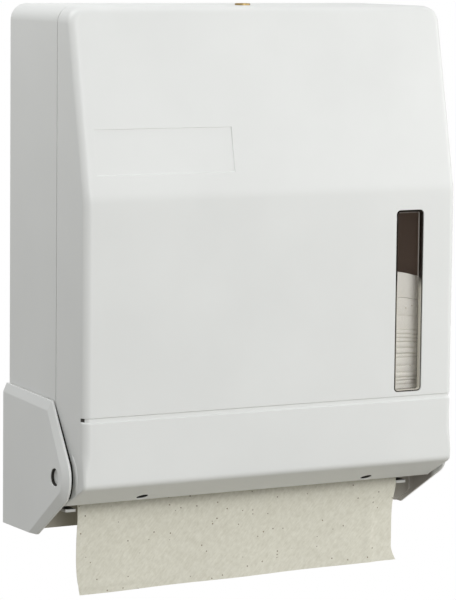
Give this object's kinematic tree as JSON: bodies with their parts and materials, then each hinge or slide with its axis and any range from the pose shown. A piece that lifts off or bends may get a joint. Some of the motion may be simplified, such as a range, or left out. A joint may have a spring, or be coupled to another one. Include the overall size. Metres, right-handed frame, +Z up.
{
  "type": "folded towel dispenser",
  "caption": "Wall-hung folded paper towel dispenser with a drop-down hinged front cover, a sloping upper front, a narrow window, a key lock on top and a towel hanging from its slot.",
  "frame": {"origin": "the middle of the four wall screw holes, on the wall", "axes": "+Z up, +Y into the wall, -Y out to the front of the cover, +X to the right as seen from the front"},
  "size_m": [0.3094, 0.117, 0.4079],
  "materials": {
    "white_casing": "moulded, satin",
    "white_inside": "moulded, satin",
    "dark_panel": "moulded, matt",
    "clear_lens": "clear, polished",
    "plated_steel": "zinc plated",
    "lock_brass": "plain",
    "folded_towels": "creped",
    "recycled_towel": "creped, speckled"
  },
  "bodies": {
    "cabinet": {"rear_shell": "white_casing", "towel_tray": "white_inside", "tray_screws": "plated_steel", "chute_panel": "dark_panel", "left_chute_bracket": "white_inside", "right_chute_bracket": "white_inside", "left_towel_guide": "dark_panel", "right_towel_guide": "dark_panel", "guide_screws": "plated_steel", "lock_barrel": "lock_brass", "lock_washer": "plated_steel", "lock_nut": "plated_steel", "towel_stack": "folded_towels"},
    "cover": {"front_cover": "white_casing", "window_lens": "clear_lens", "lens_clips": "plated_steel", "front_guide": "white_inside", "lip_screws": "plated_steel", "left_hinge_pin": "white_casing", "right_hinge_pin": "white_casing", "lock_keeper": "plated_steel", "keeper_screws": "plated_steel"},
    "lock": {"lock_plug": "lock_brass", "lock_cam": "plated_steel", "cam_screw": "plated_steel"},
    "towel": {"hanging_towel": "recycled_towel"}
  },
  "joints": [
    {"name": "cover_hinge", "type": "hinge", "parent": "cabinet", "child": "cover", "pos_m": [0, -0.085, -0.1545], "axis": [1, 0, 0], "range_deg": [0, 90]},
    {"name": "lock_turn", "type": "hinge", "parent": "cabinet", "child": "lock", "pos_m": [0, -0.066, 0.1645], "axis": [0, 0, -1], "range_deg": [0, 90]},
    {"name": "towel_pull", "type": "slide", "parent": "cabinet", "child": "towel", "axis": [0, 0, -1], "range_m": [0, 0.045]}
  ]
}
